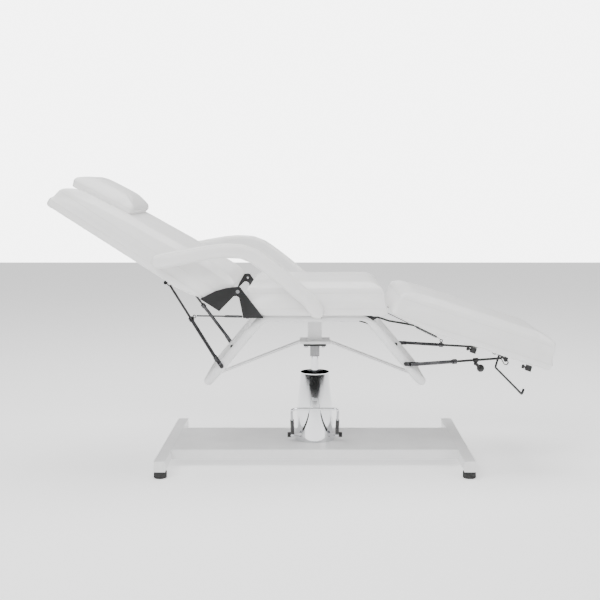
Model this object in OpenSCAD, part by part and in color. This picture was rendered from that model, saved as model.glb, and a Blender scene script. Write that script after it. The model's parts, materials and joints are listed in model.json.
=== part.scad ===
// Facial treatment bed: three-section padded bed on a swivelling hydraulic pedestal.
// Units are millimetres, +Z is up, -X is the head end, +X the foot end, -Y the near side.
// Every piece is drawn at its rest position: backrest raised, leg rest lowered a little.

/* [Show] */
// Piece to show, or "all"

/* [Base] */
// Overall length of the H-shaped base
base_length = 1063; // [1040:1:1080]
// Overall width of the H-shaped base
base_width = 620; // [600:1:640]
// Width of each cross tube
tube_w = 38; // [36:1:42]
// Height of each cross tube
tube_h = 35; // [33:1:36]
// Wall of the cross tubes and the centre pan
base_wall = 2.5; // [2:0.5:3]
// Width of the centre pan across the bed
pan_width = 316; // [300:2:340]
// Diameter of each rubber foot
foot_d = 44; // [40:1:48]
// Height of each rubber foot
foot_h = 23.5; // [22:0.5:25]

/* [Pump] */
// Diameter of the chrome shroud at the base
shroud_bottom_d = 142; // [138:1:146]
// Diameter of the chrome shroud at its open top
shroud_top_d = 101; // [98:1:104]
// Height of the chrome shroud
shroud_h = 240; // [236:1:242]
// Diameter of the lifting piston
piston_d = 26.5; // [24:0.5:27]
// Diameter of the swivel collar
collar_d = 34; // [32:1:36]
// Diameter of the wire of the foot pedal
pedal_wire_d = 9; // [8:0.5:10]

/* [Seat frame] */
// Diameter of the bent frame tubes
frame_d = 30; // [28:1:30]
// Half spacing of the two side frames
frame_y = 210; // [209:1:211]
// Side of the square post
post_w = 50; // [48:1:52]

/* [Upholstery] */
// Half width of the seat, back and leg cushions
cushion_half = 250; // [248:0.5:250]
// Outer face of each armrest from the centre line
arm_outer = 310; // [306:1:310]
// Length of the detachable head pillow along the back
pillow_length = 250; // [240:1:256]
// Half width of the head pillow
pillow_half = 176; // [160:2:190]

/* [Hidden] */
$fn = 48;
column_x = 38;
near = -1;
far = 1;
gap = 0.3;
base_top = foot_h + tube_h;
tube_x = base_length / 2 - tube_w / 2;
foot_y = base_width / 2 - foot_d / 2 - 1;
pan_h = tube_h - 1;
pan_half_x = base_length / 2 - tube_w;
flange_h = 6;
pump_top = base_top + 226;
axle_y = -45;
axle_z = 82.6;
axle_r = 6;
arm_x = 79;
pedal_top_y = -190;
pedal_top_z = 206;
collar_z0 = 355;
collar_z1 = 393;
plate_z0 = 396;
plate_z1 = 405.5;
flange_z1 = 413.5;
tie_plate_z = 500;
tie_z0 = 505;
rail_z = 520;
bend_r = 60;
corner_r = 45;
leg_ang = 49.9;
bend_x = 150.2;
foot_bar_x = 365;
foot_bar_z = 298;
rim_z = 527;
seat_board_z0 = 535;
seat_board_z1 = 547;
seat_top = 636;
plate_y0 = 250.6;
plate_y1 = 253.6;
back_hx = -258;
back_hz = 613;
back_rest = 32.5;
pillow_tilt = 5.2;
leg_hx = 208;
leg_hz = 529;
leg_rest = 18;
hinge_r = 4;
back_bolt_x = -314;
back_bolt_z = 358;
leg_bolt_x = 307;
leg_bolt_z = 366;
back_bar = [-224.4, -114];
leg_bar = [479.3, -16];
bar_r = 4;
back_y = [243, 150];
leg_y = [246, 110];
rod_r = 4;
bore_r = 4.2;
strut_tube_r = 6;
strut_collar_r = 8.5;
arm_pivot = [12, 548];
arm_slot = [-530.2, 714.1];
arm_slot_ang = -20.5;
arm_slot_len = 21.5;
arm_rear_flat = [-283.1, -61.8];
socket_x = [345, 540];
socket_y = 237;
holder_r = 4;
holder_bore_r = 4.1;

// Moves a piece from the pedestal axis to the middle of the whole bed.
module place() { translate([column_x, 0, 0]) children(); }

// Mirrors a piece drawn on the near side to the far side.
module on_side(s) { mirror([0, s > 0 ? 1 : 0, 0]) children(); }

// Backrest frame: flat on the hinge axis, head towards -X.
module on_back() { translate([back_hx, 0, back_hz]) rotate([0, back_rest, 0]) children(); }

// Leg rest frame: flat on the hinge axis, foot towards +X.
module on_leg() { translate([leg_hx, 0, leg_hz]) rotate([0, leg_rest, 0]) children(); }

// Extrudes a side-view polygon from y0 to y1.
module slab(pts, y0, y1) {
  translate([0, y1, 0]) rotate([90, 0, 0]) linear_extrude(y1 - y0) polygon(pts);
}

// Extrudes a side-view child from y0 to y1.
module slab_of(y0, y1) {
  translate([0, y1, 0]) rotate([90, 0, 0]) linear_extrude(y1 - y0) children();
}

// Round bar between two points.
module bar(p, q, r) {
  v = q - p;
  len = norm(v);
  translate(p) rotate([0, acos(v[2] / len), atan2(v[1], v[0])]) cylinder(h = len, r = r);
}

// Bar along Y with its centre at x, z.
module y_bar(x, z, r, y0, y1) {
  translate([x, y0, z]) rotate([-90, 0, 0]) cylinder(h = y1 - y0, r = r);
}

// Flat shape with round ends running from the origin.
module stadium(len, ang, r) {
  rotate(ang) union() {
    circle(r);
    translate([len, 0]) circle(r);
    translate([0, -r]) square([len, 2 * r]);
  }
}

// Points of an arc in the side view.
function arc(cx, cz, r, a0, a1, n) =
  [for (i = [0:n]) [cx + r * cos(a0 + (a1 - a0) * i / n), cz + r * sin(a0 + (a1 - a0) * i / n)]];

// World position of a point of the flat backrest.
function back_pt(p) = [back_hx + p[0] * cos(back_rest) + p[1] * sin(back_rest),
  back_hz - p[0] * sin(back_rest) + p[1] * cos(back_rest)];

// World position of a point of the flat leg rest.
function leg_pt(p) = [leg_hx + p[0] * cos(leg_rest) + p[1] * sin(leg_rest),
  leg_hz - p[0] * sin(leg_rest) + p[1] * cos(leg_rest)];

back_end = back_pt(back_bar);
leg_end = leg_pt(leg_bar);
back_p = [back_bolt_x, -back_y[0], back_bolt_z];
back_q = [back_end[0], -back_y[1], back_end[1]];
leg_p = [leg_bolt_x, -leg_y[0], leg_bolt_z];
leg_q = [leg_end[0], -leg_y[1], leg_end[1]];

// Frame whose +X runs from p to q and whose +Z stays in the upright plane.
module along(p, q) {
  v = q - p;
  translate(p) rotate([0, -asin(v[2] / norm(v)), atan2(v[1], v[0])]) children();
}

// ---------------------------------------------------------------- base

// Folded steel pan between the two cross tubes, open underneath.
module base_pan() {
  color([0.93, 0.93, 0.93]) place() difference() {
    translate([-pan_half_x, -pan_width / 2, base_top - pan_h]) cube([2 * pan_half_x, pan_width, pan_h]);
    translate([-pan_half_x + base_wall, -pan_width / 2 + base_wall, base_top - pan_h - 1])
      cube([2 * (pan_half_x - base_wall), pan_width - 2 * base_wall, pan_h + 1 - base_wall]);
    for (a = [0:90:270])
      rotate(a) translate([48, 0, base_top - pan_h]) cylinder(h = pan_h + 1, r = 5.2);
  }
}

// Rectangular cross tube, open at both ends for its caps.
module cross_tube(s) {
  color([0.93, 0.93, 0.93]) place() difference() {
    translate([s * tube_x - tube_w / 2, -base_width / 2, foot_h]) cube([tube_w, base_width, tube_h]);
    translate([s * tube_x - tube_w / 2 + base_wall, -base_width / 2 - 1, foot_h + base_wall])
      cube([tube_w - 2 * base_wall, base_width + 2, tube_h - 2 * base_wall]);
    for (t = [-1, 1])
      translate([s * tube_x, t * foot_y, foot_h - 1]) cylinder(h = base_wall + 2, r = 5.2);
  }
}
module cross_tube_head() { cross_tube(-1); }
module cross_tube_foot() { cross_tube(1); }

// Plastic plugs closing the four tube ends.
module tube_end_caps() {
  color([0.9, 0.9, 0.9]) place() for (s = [-1, 1], t = [-1, 1])
    translate([s * tube_x - tube_w / 2 + base_wall, t > 0 ? base_width / 2 - 14 : -base_width / 2, foot_h + base_wall])
      cube([tube_w - 2 * base_wall, 14, tube_h - 2 * base_wall]);
}

// Four rubber feet with moulded studs that reach into the cross tubes.
module rubber_feet() {
  color([0.05, 0.05, 0.05]) place() for (s = [-1, 1], t = [-1, 1])
    translate([s * tube_x, t * foot_y, 0]) union() {
      cylinder(h = 5, r1 = foot_d / 2 - 2.5, r2 = foot_d / 2);
      translate([0, 0, 5]) cylinder(h = foot_h - 5, r = foot_d / 2);
      translate([0, 0, foot_h]) cylinder(h = 12, r = 5);
    }
}

// ---------------------------------------------------------------- pump

// Steel foot ring of the pump with the two pedal bearings.
module pump_flange() {
  color([0.1, 0.1, 0.1]) place() difference() {
    union() {
      translate([0, 0, base_top]) cylinder(h = flange_h, r = 60);
      for (s = [-1, 1])
        translate([s * 29 - 4, axle_y - 10, base_top]) cube([8, 20, axle_z - base_top + 9]);
    }
    for (a = [0:90:270])
      rotate(a) translate([48, 0, base_top - 1]) cylinder(h = flange_h + 2, r = 5.2);
    translate([-50, axle_y, axle_z]) rotate([0, 90, 0]) cylinder(h = 100, r = axle_r + 0.1);
  }
}

// Four hexagon bolts that hold the pump on the pan.
module pump_bolts() {
  color([0.6, 0.6, 0.62]) place() for (a = [0:90:270])
    rotate(a) translate([48, 0, 0]) union() {
      translate([0, 0, base_top + flange_h]) cylinder(h = 5, r = 8, $fn = 6);
      translate([0, 0, base_top - 14]) cylinder(h = flange_h + 14, r = 5);
      translate([0, 0, base_top - base_wall - 6]) cylinder(h = 6, r = 8, $fn = 6);
    }
}

// Oil cylinder of the pump, hidden inside the shroud.
module pump_cylinder() {
  color([0.15, 0.15, 0.15]) place() difference() {
    translate([0, 0, base_top + flange_h]) cylinder(h = pump_top - base_top - flange_h, r = 30);
    translate([0, 0, base_top + flange_h + 8]) cylinder(h = 400, r = piston_d / 2 + 0.1);
  }
}

// Chrome conical shroud, open at the top.
module pump_shroud() {
  color([0.75, 0.76, 0.78]) place() difference() {
    union() {
      translate([0, 0, base_top]) cylinder(h = shroud_h, r1 = shroud_bottom_d / 2, r2 = shroud_top_d / 2, $fn = 96);
      translate([0, 0, base_top + shroud_h - 3]) cylinder(h = 3, r = shroud_top_d / 2 + 1.2, $fn = 96);
    }
    translate([0, 0, base_top - 0.01])
      cylinder(h = shroud_h + 0.02, r1 = shroud_bottom_d / 2 - 2, r2 = shroud_top_d / 2 - 2, $fn = 96);
    translate([-100, axle_y, axle_z]) rotate([0, 90, 0]) cylinder(h = 200, r = axle_r + 1.5);
  }
}

// ---------------------------------------------------------------- pedal

// Chrome wire loop pressed by the foot.
module pedal_loop() {
  reach = norm([pedal_top_y - axle_y, pedal_top_z - axle_z]);
  tilt = atan2(pedal_top_z - axle_z, pedal_top_y - axle_y);
  corner = 18;
  color([0.75, 0.76, 0.78]) place() translate([0, axle_y, axle_z]) difference() {
    union() {
      for (e = [0, 1]) mirror([e, 0, 0]) {
        rotate([tilt, 0, 0]) translate([arm_x, 8, 0]) rotate([-90, 0, 0])
          cylinder(h = reach - corner - 8, r = pedal_wire_d / 2);
        rotate([tilt, 0, 0]) translate([arm_x - corner, reach - corner, 0])
          rotate_extrude(angle = 90) translate([corner, 0]) circle(pedal_wire_d / 2);
        translate([arm_x - 6, 0, 0]) rotate([0, 90, 0]) cylinder(h = 12, r = 10);
      }
      rotate([tilt, 0, 0]) translate([corner - arm_x, reach, 0]) rotate([0, 90, 0])
        cylinder(h = 2 * (arm_x - corner), r = pedal_wire_d / 2);
    }
    translate([-100, 0, 0]) rotate([0, 90, 0]) cylinder(h = 200, r = axle_r);
  }
}

// Axle that turns in the two bearings and carries the pedal.
module pedal_axle() {
  color([0.6, 0.61, 0.63]) place()
    translate([-94, axle_y, axle_z]) rotate([0, 90, 0]) cylinder(h = 188, r = axle_r);
}

// Black sleeves on the two axle ends and over the lower half of each arm.
module pedal_end_sleeves() {
  tilt = atan2(pedal_top_z - axle_z, pedal_top_y - axle_y);
  color([0.06, 0.06, 0.06]) place() for (s = [-1, 1]) {
    translate([s > 0 ? 85.3 : -97, axle_y, axle_z]) rotate([0, 90, 0]) difference() {
      cylinder(h = 11.7, r = 9);
      translate([0, 0, s > 0 ? -1 : 3]) cylinder(h = 9.7, r = axle_r);
    }
    translate([s * arm_x, axle_y, axle_z]) rotate([tilt, 0, 0]) rotate([-90, 0, 0]) difference() {
      translate([0, 0, 16]) cylinder(h = 92, r = pedal_wire_d / 2 + 2);
      cylinder(h = 130, r = pedal_wire_d / 2);
    }
  }
}

// ---------------------------------------------------------------- lift

// Chrome lifting piston.
module piston_rod() {
  color([0.75, 0.76, 0.78]) place()
    translate([0, 0, base_top + flange_h + 60]) cylinder(h = collar_z0 - base_top - flange_h - 60, r = piston_d / 2);
}

// Grey collar in which the seat turns.
module swivel_collar() {
  color([0.55, 0.56, 0.58]) place() difference() {
    translate([0, 0, collar_z0]) cylinder(h = collar_z1 - collar_z0, r = collar_d / 2);
    translate([0, 0, collar_z0 + 4]) cylinder(h = 60, r = 8.05);
  }
}

// ---------------------------------------------------------------- swivelling frame

// Black plate bolted under the post, with the pivot that turns in the collar.
module mounting_plate() {
  color([0.06, 0.06, 0.06]) place() difference() {
    union() {
      translate([-40.5, -40.5, plate_z0]) cube([81, 81, plate_z1 - plate_z0]);
      translate([0, 0, collar_z1 + gap]) cylinder(h = plate_z0 - collar_z1, r = 13);
      translate([0, 0, collar_z0 + 6]) cylinder(h = plate_z0 - collar_z0 - 5, r = 8);
    }
    for (s = [-1, 1], t = [-1, 1])
      translate([s * 31, t * 31, plate_z0 - 1]) cylinder(h = 20, r = 4.2);
  }
}

// Four bolts that hold the plate under the post flange.
module mounting_bolts() {
  color([0.6, 0.6, 0.62]) place() for (s = [-1, 1], t = [-1, 1])
    translate([s * 31, t * 31, 0]) union() {
      translate([0, 0, plate_z0 - 6]) cylinder(h = 6, r = 6.5, $fn = 6);
      translate([0, 0, plate_z0 - 3]) cylinder(h = flange_z1 - plate_z0 + 2, r = 4);
    }
}

// White square post with its welded foot flange and head plate.
module seat_post() {
  color([0.93, 0.93, 0.93]) place() difference() {
    union() {
      translate([-54, -54, plate_z1]) cube([108, 108, flange_z1 - plate_z1]);
      translate([-post_w / 2, -post_w / 2, flange_z1]) cube([post_w, post_w, tie_plate_z - flange_z1]);
      translate([-75, -60, tie_plate_z]) cube([150, 120, tie_z0 - tie_plate_z]);
    }
    translate([-post_w / 2 + 2.5, -post_w / 2 + 2.5, flange_z1])
      cube([post_w - 5, post_w - 5, tie_plate_z - flange_z1]);
    for (s = [-1, 1], t = [-1, 1])
      translate([s * 31, t * 31, plate_z1 - 1]) cylinder(h = 20, r = 4.2);
  }
}

// Two flat braces from the post flange down to the lower cross bars.
module truss_bars() {
  color([0.93, 0.93, 0.93]) place() for (s = [-1, 1]) difference() {
    slab([[s * 54, 411], [s * 54, 403], [s * 360, 284], [s * 360, 292]], -15, 15);
    y_bar(s * foot_bar_x, foot_bar_z, frame_d / 2, -40, 40);
  }
}

// Side frame: top rail, two splayed legs and the bends that meet the lower cross bars.
module side_frame(s) {
  arc_x = bend_x + bend_r * sin(leg_ang);
  arc_z = rail_z - bend_r + bend_r * cos(leg_ang);
  leg_len = norm([foot_bar_x - arc_x, arc_z - foot_bar_z]) - corner_r;
  color([0.93, 0.93, 0.93]) place() on_side(s) difference() {
    union() {
      bar([-bend_x, -frame_y, rail_z], [bend_x, -frame_y, rail_z], frame_d / 2);
      for (e = [0, 1]) mirror([e, 0, 0]) {
        translate([bend_x, -frame_y, rail_z - bend_r]) rotate([-90, 0, 0]) rotate([0, 0, -90])
          rotate_extrude(angle = leg_ang) translate([bend_r, 0]) circle(frame_d / 2);
        translate([foot_bar_x, -frame_y, foot_bar_z]) rotate([0, leg_ang, 0]) {
          translate([-corner_r - leg_len, 0, 0]) rotate([0, 90, 0]) cylinder(h = leg_len, r = frame_d / 2);
          translate([-corner_r, corner_r, 0]) rotate([0, 0, -90])
            rotate_extrude(angle = 90) translate([corner_r, 0]) circle(frame_d / 2);
        }
      }
    }
    y_bar(back_bolt_x, back_bolt_z, 4.2, -frame_y - 30, -frame_y + 30);
    y_bar(leg_bolt_x, leg_bolt_z, 4.2, -frame_y - 30, -frame_y + 30);
  }
}
module frame_near() { side_frame(near); }
module frame_far() { side_frame(far); }

// Lower cross bars between the bends of the two side frames.
module frame_foot_bars() {
  color([0.93, 0.93, 0.93]) place() for (s = [-1, 1])
    y_bar(s * foot_bar_x, foot_bar_z, frame_d / 2, corner_r - frame_y, frame_y - corner_r);
}

// Square ties between the rails, resting on the head plate of the post.
module frame_ties() {
  color([0.93, 0.93, 0.93]) place() difference() {
    for (s = [-1, 1]) translate([s * 55 - 12.5, -frame_y, tie_z0]) cube([25, 2 * frame_y, 25]);
    for (t = [-1, 1]) bar([-90, t * frame_y, rail_z], [90, t * frame_y, rail_z], frame_d / 2);
    for (s = [-1, 1]) translate([s * 55 - 10, -frame_y + 20, tie_z0 + 2.5]) cube([20, 2 * frame_y - 40, 20]);
  }
}

// ---------------------------------------------------------------- seat

// Plywood board under the seat cushion.
module seat_board() {
  color([0.85, 0.84, 0.82]) place()
    translate([-215, -234, seat_board_z0]) cube([409, 468, seat_board_z1 - seat_board_z0]);
}

// Seat profile, inset by e.
function seat_profile(e) = concat(
  arc(-229 + e, rim_z + 14 + e, 14, 180, 270, 5), arc(233 - e, rim_z + 14 + e, 14, 270, 360, 5),
  arc(223 - e, seat_top - 24 - e, 24, 0, 90, 6), arc(-231 + e, seat_top - 12 - e, 12, 90, 180, 6));

// Seat cushion with a recess for its board.
module seat_cushion() {
  h = cushion_half;
  color([0.97, 0.97, 0.97]) place() difference() {
    union() {
      slab(seat_profile(0), -h + 14, h - 14);
      slab(seat_profile(3), -h + 5, -h + 14);
      slab(seat_profile(3), h - 14, h - 5);
      slab(seat_profile(9), -h, -h + 5);
      slab(seat_profile(9), h - 5, h);
    }
    translate([-216, -235, rim_z - 20]) cube([411, 470, seat_board_z1 - rim_z + 20]);
    for (t = [-1, 1]) translate([190, t * 210 - 14, rim_z - 20]) cube([80, 28, 33]);
  }
}

// Side-view outlines of the two hinge cheeks, each in the frame of its own section.
seat_cheek = concat(arc(0, 0, 15, 95, 35, 4), [[84.5, -85.8], [17.5, -85.8], [4, -20]], arc(0, 0, 15, 240, 150, 4));
back_cheek = concat(arc(0, 0, 15, 60, -70, 6), [[-3, -20], [-16.5, -85.8], [-92, -85.8], [-65, -39], [-40, -11]],
  arc(0, 0, 16.5, 130, 80, 3));

// Black cheeks of the back hinge on the seat side, with their foot flanges.
module seat_hinge_plates() {
  color([0.05, 0.05, 0.05]) place() for (s = [near, far]) on_side(s) difference() {
    union() {
      translate([back_hx, 0, back_hz]) slab(seat_cheek, -plate_y1, -plate_y0);
      translate([back_hx + 17.5, -plate_y1, rim_z - 3.2]) cube([67, plate_y1 - frame_y - 4, 3]);
      translate([back_hx + 17.5, -plate_y1, rim_z - 3.2]) cube([67, 3, 4]);
    }
    y_bar(back_hx, back_hz, hinge_r + 0.05, -270, -240);
    bar([-bend_x, -frame_y, rail_z], [0, -frame_y, rail_z], frame_d / 2);
    translate([-bend_x, -frame_y, rail_z - bend_r]) rotate([90, 0, 0]) rotate([0, 0, 90])
      rotate_extrude(angle = leg_ang) translate([bend_r, 0]) circle(frame_d / 2);
  }
}

// Pivot bolts of the back hinge and the small screws under the cheeks.
module hinge_bolts() {
  color([0.7, 0.71, 0.72]) place() for (s = [near, far]) on_side(s) {
    union() {
      y_bar(back_hx, back_hz, hinge_r, -plate_y1 - 3.2, -plate_y0 + 0.2);
      translate([back_hx, -plate_y1 - 3.4, back_hz]) rotate([90, 0, 0]) cylinder(h = 2.8, r = 6);
      y_bar(back_hx, back_hz, hinge_r, -plate_y1 - 3.5, -plate_y1 - 3);
    }
    for (x = [32, 78]) translate([back_hx + x, -244, rim_z - 7]) cylinder(h = 3.8, r = 5);
  }
}

// Bolts on the legs of the frame that carry the four struts.
module strut_bolts() {
  color([0.08, 0.08, 0.08]) place() for (s = [near, far]) on_side(s)
    for (p = [[back_bolt_x, back_bolt_z], [leg_bolt_x, leg_bolt_z]]) union() {
      y_bar(p[0], p[1], 4, -230.5, -frame_y + 24);
      y_bar(p[0], p[1], 6.5, -234, -230);
      y_bar(p[0], p[1], 6.5, -frame_y + 16.2, -frame_y + 22);
    }
}

// Front brackets of the armrests, welded to the rails, with their pivots.
module arm_brackets() {
  color([0.08, 0.08, 0.08]) place() for (s = [near, far]) on_side(s) difference() {
    union() {
      slab_of(-plate_y1, -plate_y0) union() {
        translate(arm_pivot) circle(12);
        translate([arm_pivot[0] - 12, rim_z - 3.2]) square([24, arm_pivot[1] - rim_z + 3.2]);
      }
      translate([arm_pivot[0] - 12, -plate_y1, rim_z - 3.2]) cube([24, plate_y1 - frame_y - 4, 3]);
      y_bar(arm_pivot[0], arm_pivot[1], 4, -260, -plate_y0);
    }
    bar([-60, -frame_y, rail_z], [80, -frame_y, rail_z], frame_d / 2);
  }
}

// Eyes and pins of the leg rest hinge at the foot end of the rails.
module leg_hinge_pins() {
  color([0.08, 0.08, 0.08]) place() for (s = [near, far]) on_side(s) union() {
    y_bar(leg_hx, leg_hz, 4, -224, -196);
    for (y = [-222, -203]) difference() {
      slab([[150, 508], [180, 500], [216, 524], [217, 533], [208, 538], [199, 534.6], [176, 534.5], [150, 534.5]],
        y, y + 5);
      bar([0, -frame_y, rail_z], [bend_x, -frame_y, rail_z], frame_d / 2 + 0.01);
      translate([bend_x, -frame_y, rail_z - bend_r]) rotate([-90, 0, 0]) rotate([0, 0, -90])
        rotate_extrude(angle = leg_ang) translate([bend_r, 0]) circle(frame_d / 2 + 0.01);
      bar([bend_x + bend_r * sin(leg_ang), -frame_y, rail_z - bend_r + bend_r * cos(leg_ang)],
        [foot_bar_x, -frame_y, foot_bar_z], frame_d / 2 + 0.01);
    }
  }
}

// ---------------------------------------------------------------- backrest

// Plywood board under the back cushion.
module back_board() {
  color([0.85, 0.84, 0.82]) place() on_back() translate([-685, -234, -97]) cube([485, 468, 12]);
}

// Back profile, inset by e.
function back_profile(e) = concat(
  arc(-691 + e, -91 + e, 14, 180, 270, 5), [[-200, -105 + e], [-153, -101 + e], [-120, -95 + e], [-92, -85.6 + e]],
  arc(-40 - e, -67.6 + e, 18, 270, 350, 6),
  arc(-16 - e, 10 - e, 12, 5, 90, 5), [[-250, 19 - e], [-440, 8 - e], [-600, -7 - e]],
  arc(-677 + e, -41 - e, 28, 82, 180, 6));

// Tapered back cushion with a recess for its board.
module back_cushion() {
  h = cushion_half;
  color([0.97, 0.97, 0.97]) place() on_back() difference() {
    union() {
      slab(back_profile(0), -h + 14, h - 14);
      slab(back_profile(3), -h + 5, -h + 14);
      slab(back_profile(3), h - 14, h - 5);
      slab(back_profile(9), -h, -h + 5);
      slab(back_profile(9), h - 5, h);
    }
    translate([-686, -235, -120]) cube([487, 470, 35]);
  }
}

// Black cheeks of the back hinge on the backrest side.
module back_hinge_plates() {
  y1 = plate_y1 + 3.2;
  y0 = plate_y1 + gap;
  color([0.05, 0.05, 0.05]) place() on_back() for (s = [near, far]) on_side(s) difference() {
    union() {
      slab(back_cheek, -y1, -y0);
      translate([-92, -y1, -88.8]) cube([75.5, y1 - y0, 4]);
      translate([-92, -y1, -88.8]) cube([64, y1 - 205, 3]);
    }
    y_bar(0, 0, hinge_r + 0.05, -270, -240);
  }
}

// Cross bar under the back board that carries the upper ends of the struts.
module back_strut_bar() {
  color([0.08, 0.08, 0.08]) place() on_back() {
    union() {
      y_bar(back_bar[0], back_bar[1], bar_r, -200, 200);
      for (y = [-199, -2.5, 194]) slab_of(y, y + 5) union() {
        translate(back_bar) circle(6.5);
        translate([back_bar[0] - 6.5, back_bar[1]]) square([13, -97 - back_bar[1]]);
      }
    }
  }
}

// Slide pins on the sides of the backrest that hold the rear ends of the armrests.
module arm_slide_pins() {
  color([0.08, 0.08, 0.08]) place() on_back() for (s = [near, far]) on_side(s) union() {
    y_bar(arm_rear_flat[0], arm_rear_flat[1], 15, -plate_y1, -cushion_half);
    y_bar(arm_rear_flat[0], arm_rear_flat[1], 4, -261, -plate_y0);
  }
}

// Detachable head pillow.
module head_pillow() {
  len = pillow_length;
  color([0.98, 0.98, 0.98]) place() on_back() translate([-567, 0, -3.2]) rotate([0, -pillow_tilt, 0])
    difference() {
      hull() for (y = [-1, 1], x = [-1, 1]) {
        translate([x * (len / 2 - 24), y * (pillow_half - 24), 22]) sphere(r = 24, $fn = 28);
        translate([x * (len / 2 - 60), y * (pillow_half - 60), 24]) sphere(r = 34, $fn = 28);
      }
      translate([-200, -200, -40]) cube([400, 400, 40]);
    }
}

// ---------------------------------------------------------------- armrests

// Centre line of the padded arm in the side view.
arm_path = [[10, 546], [-18, 585], [-66, 627], [-114, 667], [-165, 707], [-204, 735], [-245, 750],
  [-300, 752], [-340, 748], [-408, 736], [-466, 725], [-520, 715]];

// Left-hand normal of the arm path at point i.
function arm_dir(i) = let (a = arm_path[max(i - 1, 0)], b = arm_path[min(i + 1, 11)]) (b - a) / norm(b - a);
function arm_off(i, d) = arm_path[i] + d * [-arm_dir(i)[1], arm_dir(i)[0]];

// Outline of the arm with half thickness h.
function arm_outline(h) = concat(
  [for (i = [0:11]) arm_off(i, -h)],
  [for (k = [1:5]) let (t = atan2(arm_dir(11)[1], arm_dir(11)[0]) - 90 + 30 * k) arm_path[11] + h * [cos(t), sin(t)]],
  [for (i = [11:-1:0]) arm_off(i, h)],
  [for (k = [1:5]) let (t = atan2(arm_dir(0)[1], arm_dir(0)[0]) + 90 + 30 * k) arm_path[0] + 0.9 * h * [cos(t), sin(t)]]);

// Padded arm, hollowed where its steel bar and pins sit.
module armrest(s) {
  y0 = 257.3;
  y1 = arm_outer;
  color([0.97, 0.97, 0.97]) place() on_side(s) difference() {
    union() {
      slab(arm_outline(20), -y1, -y1 + 6);
      slab(arm_outline(25), -y1 + 6, -y1 + 15);
      slab(arm_outline(28), -y1 + 15, -y0 - 10);
      slab(arm_outline(24), -y0 - 10, -y0);
    }
    y_bar(arm_pivot[0], arm_pivot[1], 7, -264, -250);
    slab_of(-265, -250) translate(arm_slot) rotate(arm_slot_ang) translate([-6.5, -7.5]) square([34.5, 15]);
  }
}
module armrest_near() { armrest(near); }
module armrest_far() { armrest(far); }

// Steel bar inside each arm, pivoted on the seat and sliding on the backrest.
module arm_bar(s) {
  color([0.9, 0.9, 0.9]) place() on_side(s) difference() {
    union() {
      slab(arm_outline(11), -257, -254);
      slab_of(-257, -254) translate(arm_slot) stadium(arm_slot_len, arm_slot_ang, 10.5);
    }
    y_bar(arm_pivot[0], arm_pivot[1], 4.05, -265, -250);
    slab_of(-265, -250) translate(arm_slot) stadium(arm_slot_len, arm_slot_ang, 5.6);
  }
}
module arm_bar_near() { arm_bar(near); }
module arm_bar_far() { arm_bar(far); }

// ---------------------------------------------------------------- struts

// Telescopic tube with its side lug; len is measured from the pivot.
module strut_tube(p, q, len, collar) {
  v = q - p;
  planar = atan2(v[2], v[0]);
  difference() {
    union() {
      along(p, q) translate([15, 0, 0]) rotate([0, 90, 0]) cylinder(h = len - 15, r = strut_tube_r);
      along(p, q) translate([len - 14, 0, 0]) rotate([0, 90, 0]) cylinder(h = 14, r = strut_collar_r);
      slab_of(-229.5, -226.5) translate([p[0], p[2]]) stadium(40, planar, 7);
      along(p, q) translate([24, -3.2, -5]) cube([16, 9, 10]);
    }
    along(p, q) translate([-40, 0, 0]) rotate([0, 90, 0]) cylinder(h = len + 80, r = bore_r);
    y_bar(p[0], p[2], 4.15, -260, -220);
    if (collar) along(p, q) translate([len - 7, 0, 0]) cylinder(h = 20, r = 2);
  }
}

// Rod with a slotted eye that rides on the cross bar.
module strut_rod(p, q, len, back_off, slot_len, slot_ang, slot_r, wall) {
  v = q - p;
  full = norm(v);
  planar = atan2(v[2], v[0]);
  difference() {
    union() {
      along(p, q) translate([full - len, 0, 0]) rotate([0, 90, 0]) cylinder(h = len - back_off, r = rod_r);
      slab_of(q[1] - 2.5, q[1] + 2.5) translate([q[0], q[2]]) stadium(slot_len, planar + slot_ang, slot_r + wall);
    }
    slab_of(q[1] - 10, q[1] + 10) translate([q[0], q[2]]) stadium(slot_len, planar + slot_ang, slot_r);
  }
}

module back_tube(s) {
  color([0.75, 0.76, 0.78]) place() on_side(s) strut_tube(back_p, back_q, 202, s < 0);
}
module back_tube_near() { back_tube(near); }
module back_tube_far() { back_tube(far); }

module back_rod(s) {
  color([0.07, 0.07, 0.07]) place() on_side(s) strut_rod(back_p, back_q, 256, 18, 11.2, 186.3, 5, 3);
}
module back_rod_near() { back_rod(near); }
module back_rod_far() { back_rod(far); }

module leg_tube(s) {
  color([0.75, 0.76, 0.78]) place() on_side(s) strut_tube(leg_p, leg_q, 190, s > 0);
}
module leg_tube_near() { leg_tube(near); }
module leg_tube_far() { leg_tube(far); }

// Near leg rod with the clamp of the lock lever.
module leg_rod_near() {
  color([0.07, 0.07, 0.07]) place() difference() {
    union() {
      strut_rod(leg_p, leg_q, 252, 7, 17.2, -61.9, 6.4, 3);
      along(leg_p, leg_q) translate([258, 0, 0]) rotate([0, 90, 0]) cylinder(h = 16, r = 7.5);
      along(leg_p, leg_q) translate([260, -2, -17]) cube([12, 4, 14]);
    }
    along(leg_p, leg_q) translate([266, -10, -12]) rotate([-90, 0, 0]) cylinder(h = 20, r = 2.6);
  }
}
module leg_rod_far() {
  color([0.07, 0.07, 0.07]) place() on_side(far) strut_rod(leg_p, leg_q, 252, 7, 17.2, -61.9, 6.4, 3);
}

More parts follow.
